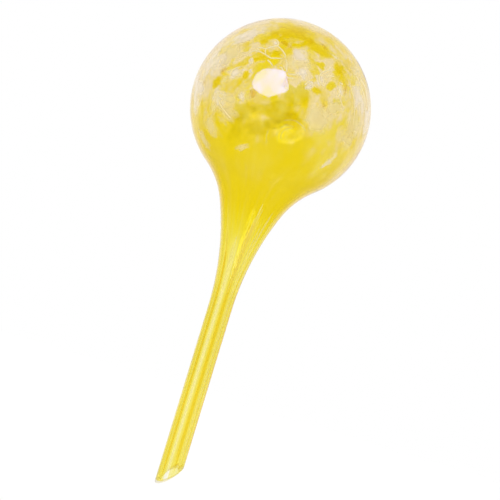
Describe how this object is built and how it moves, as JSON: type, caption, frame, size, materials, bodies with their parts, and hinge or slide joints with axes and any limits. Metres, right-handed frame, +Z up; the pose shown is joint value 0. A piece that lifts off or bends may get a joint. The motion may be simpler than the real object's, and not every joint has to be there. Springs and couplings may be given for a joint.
{
  "type": "watering globe",
  "caption": "Hand-blown glass watering globe: a hollow yellow ball with white and golden frit, drawn out into a long open stem that is pushed into potting soil.",
  "frame": {"origin": "on the stem's axis, level with the lowest point of the stem's slanted end", "axes": "+Z up the stem's axis to the ball, -Y to the front that faces the viewer, +X to the right"},
  "size_m": [0.09, 0.09, 0.24],
  "materials": {
    "clear_glass": "clear, glossy, fire-polished",
    "yellow_glass": "transparent yellow, glossy",
    "white_glass": "opaque white, melted in flush",
    "cream_glass": "cloudy pale yellow, melted in flush",
    "golden_glass": "deep golden yellow, melted in flush"
  },
  "bodies": {
    "root": {"inner_gather": "clear_glass", "yellow_coat": "yellow_glass", "white_frit": "white_glass", "cream_frit": "cream_glass", "golden_frit": "golden_glass", "white_streaks": "white_glass", "golden_streaks": "golden_glass", "outer_casing": "clear_glass"}
  },
  "joints": []
}
